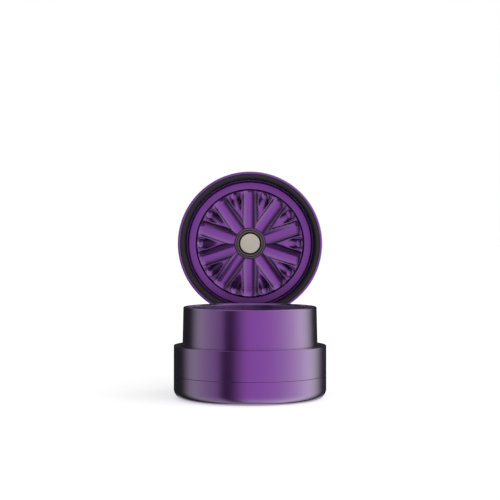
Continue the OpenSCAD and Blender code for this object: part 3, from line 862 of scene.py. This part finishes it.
def make_rotor_screw():
    head = low("rotor_screw").y - LID_Y
    tip = high("rotor_screw").y - LID_Y
    head_r = high("rotor_screw").x
    thread_r = SCREW_R - 0.2 * MM
    drive_z = head + 0.6 * MM
    core = rounded([
        (0, drive_z), (0.9 * MM, drive_z, 0.03 * MM), (1.1 * MM, head, CRISP), (head_r, head, CRISP),
        (SCREW_R, head + 1.2 * MM), (thread_r, head + 1.5 * MM), (thread_r, tip, 0.2 * MM), (0, tip)])
    piece("rotor_hub_screw", "lid", ["rotor_screw"], [turned(core, plain_steel, SMALL_STEPS)], plain_steel,
          STANDING)


def make_stator_hub():
    base, top = low("stator_magnet_cup").z, high("stator_magnet_cup").z
    floor = top - 1.7 * MM
    outline = rounded([
        (SCREW_HOLE_R, base), (HUB_R, base), (HUB_R, top, 0.2 * MM), (MAGNET_MOUTH_R, top),
        (MAGNET_SEAT_R, top - MOUTH_TAPER_H), (MAGNET_SEAT_R, floor), (SCREW_HOLE_R, floor)])
    piece("stator_hub", "neck", ["stator_magnet_cup"], [turned(outline, plain_steel)], plain_steel)
    magnet_low, magnet_high = low("stator_magnet").z, high("stator_magnet").z
    disc = rounded([(0, magnet_low), (MAGNET_R, magnet_low, 0.2 * MM), (MAGNET_R, magnet_high, 0.3 * MM),
                    (0, magnet_high)])
    piece("stator_magnet_disc", "neck", ["stator_magnet"], [turned(disc, magnet_nickel, SMALL_STEPS)],
          magnet_nickel)
    head, tip = low("stator_magnet_screw").z, high("stator_magnet_screw").z
    head_r = high("stator_magnet_screw").x
    drive_z, neck_z = head + 0.5 * MM, head + 0.98 * MM
    screw = rounded([
        (0, drive_z), (1.0 * MM, drive_z, 0.03 * MM), (1.2 * MM, head, CRISP),
        (head_r - 0.3 * MM, head, 0.25 * MM), (head_r, neck_z, 0.03 * MM), (SCREW_R, neck_z),
        (SCREW_R, tip, 0.2 * MM), (0, tip)])
    piece("stator_hub_screw", "neck", ["stator_magnet_screw"], [turned(screw, plain_steel, SMALL_STEPS)],
          plain_steel)


def make_dowels():
    for node in ("drive_pin_left", "drive_pin_right"):
        box_low, box_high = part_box(node)
        radius = (box_high.x - box_low.x) / 2
        centre_x = (box_low.x + box_high.x) / 2
        foot, head = box_low.y - LID_Y, box_high.y - LID_Y
        outline = rounded([(0, foot), (radius, foot, 0.25 * MM), (radius, head, 0.25 * MM), (0, head)])
        pin = turned(outline, plain_steel, PIN_STEPS)
        pin.transform(Matrix.Translation((centre_x, 0, 0)))
        piece(node.replace("pin", "dowel"), "lid", [node], [pin], plain_steel, STANDING)


# ---------------------------------------------------------------------------
# Floor, light and camera
# ---------------------------------------------------------------------------


def make_floor():
    """A pale floor that shades off into the backdrop, lit for itself and unseen by the object."""
    half = 4.0
    mesh = bpy.data.meshes.new("floor")
    corners = [(-half, -half, 0), (half, -half, 0), (half, half, 0), (-half, half, 0)]
    mesh.from_pydata(corners, [], [(0, 1, 2, 3)])
    floor = bpy.data.objects.new("floor", mesh)
    bpy.context.scene.collection.objects.link(floor)
    material, shader = new_material("floor_white")[:2]
    shader.inputs["Base Color"].default_value = (0.85, 0.85, 0.85, 1)
    shader.inputs["Roughness"].default_value = 0.9
    shader.inputs["Specular IOR Level"].default_value = 0.0
    shader.inputs["Emission Color"].default_value = (1, 1, 1, 1)
    shader.inputs["Emission Strength"].default_value = 0.52
    mesh.materials.append(material)
    floor.visible_glossy = False
    floor.visible_diffuse = False
    floor.visible_shadow = False


def make_lights():
    """A soft studio dome: broad panels right and left, a dark gap between them, a dark card behind."""
    world = bpy.data.worlds.new("studio")
    bpy.context.scene.world = world
    world.use_nodes = True
    tree = world.node_tree
    add = adder(tree)

    def math(operation, *values):
        return add("ShaderNodeMath", dict(enumerate(values)), operation=operation).outputs["Value"]

    def step(value, start, end):
        """0 before start, 1 past end, and a smooth rise between."""
        return add("ShaderNodeMapRange", {"Value": value, "From Min": start, "From Max": end},
                   interpolation_type="SMOOTHSTEP").outputs["Result"]

    def band(value, start, full, fade, end):
        return math("MULTIPLY", step(value, start, full), step(value, end, fade))

    way = add("ShaderNodeTexCoord").outputs["Generated"]
    parts = add("ShaderNodeSeparateXYZ", {"Vector": way}).outputs
    # Degrees round the object from the camera's side, positive to its right, and degrees up or down.
    azimuth = math("DEGREES", math("ARCTAN2", parts["X"], math("MULTIPLY", parts["Y"], -1)))
    height = math("DEGREES", math("ARCSINE", parts["Z"]))
    low_height = math("MULTIPLY", height, -1)
    level = 0.02
    for strength, limits in ((1.22, (-33, -1, 90, 142)),        # right panel
                             (0.60, (-124, -88, -52, -38)),     # left panel
                             (0.06, (-56, -46, -30, -12))):     # what the gap between them gives
        level = math("MULTIPLY_ADD", band(azimuth, *limits), strength, level)
    # The room is lit above the dark card, and in a window below it.
    aside = math("ABSOLUTE", azimuth)
    high_part = math("MULTIPLY", step(height, 24, 46), step(aside, 112, 135))
    low_part = math("MULTIPLY", step(low_height, 12, 22), step(aside, 150, 162))
    level = math("MULTIPLY_ADD", math("ADD", high_part, low_part), 0.75, level)
    lower = add("ShaderNodeMix", {0: step(low_height, 62, 80), 2: level, 3: 0.40}).outputs[0]
    dome = add("ShaderNodeMix", {0: step(height, 50, 78), 2: lower, 3: 0.45}).outputs[0]
    panels = add("ShaderNodeBackground", {"Color": (1, 1, 1, 1), "Strength": dome}).outputs["Background"]
    backdrop = add("ShaderNodeBackground", {"Color": (1, 1, 1, 1), "Strength": 1.0}).outputs["Background"]
    seen = add("ShaderNodeLightPath").outputs["Is Camera Ray"]
    both = add("ShaderNodeMixShader", {0: seen, 1: panels, 2: backdrop}).outputs["Shader"]
    tree.links.new(both, tree.nodes["World Output"].inputs["Surface"])


def make_camera():
    data = bpy.data.cameras.new("camera")
    data.lens = 103.8
    data.sensor_width = 36              # lens and sensor in millimetres
    data.clip_start = 0.01
    camera = bpy.data.objects.new("camera", data)
    camera.location = (0, -0.6, 0.0715)
    camera.rotation_euler = (radians(90 - 0.95), 0, 0)
    bpy.context.scene.collection.objects.link(camera)
    bpy.context.scene.camera = camera


bpy.context.scene.view_settings.view_transform = "Standard"
make_camera()
make_lights()
make_floor()
make_cup()
make_seal("cup_seal_ring", "cup_seal", "cup_o_ring")
make_chamber()
make_sieve()
make_spring_ring("sieve_spring_ring", "chamber", "screen_snap_ring")
make_seal("neck_seal_ring", "neck_seal", "neck_o_ring")
make_neck()
make_stator()
make_spring_ring("stator_spring_ring", "neck", "stator_snap_ring")
make_stator_hub()
make_lid()
make_glide_ring()
make_rotor()
make_rotor_hub()
make_rotor_screw()
make_dowels()
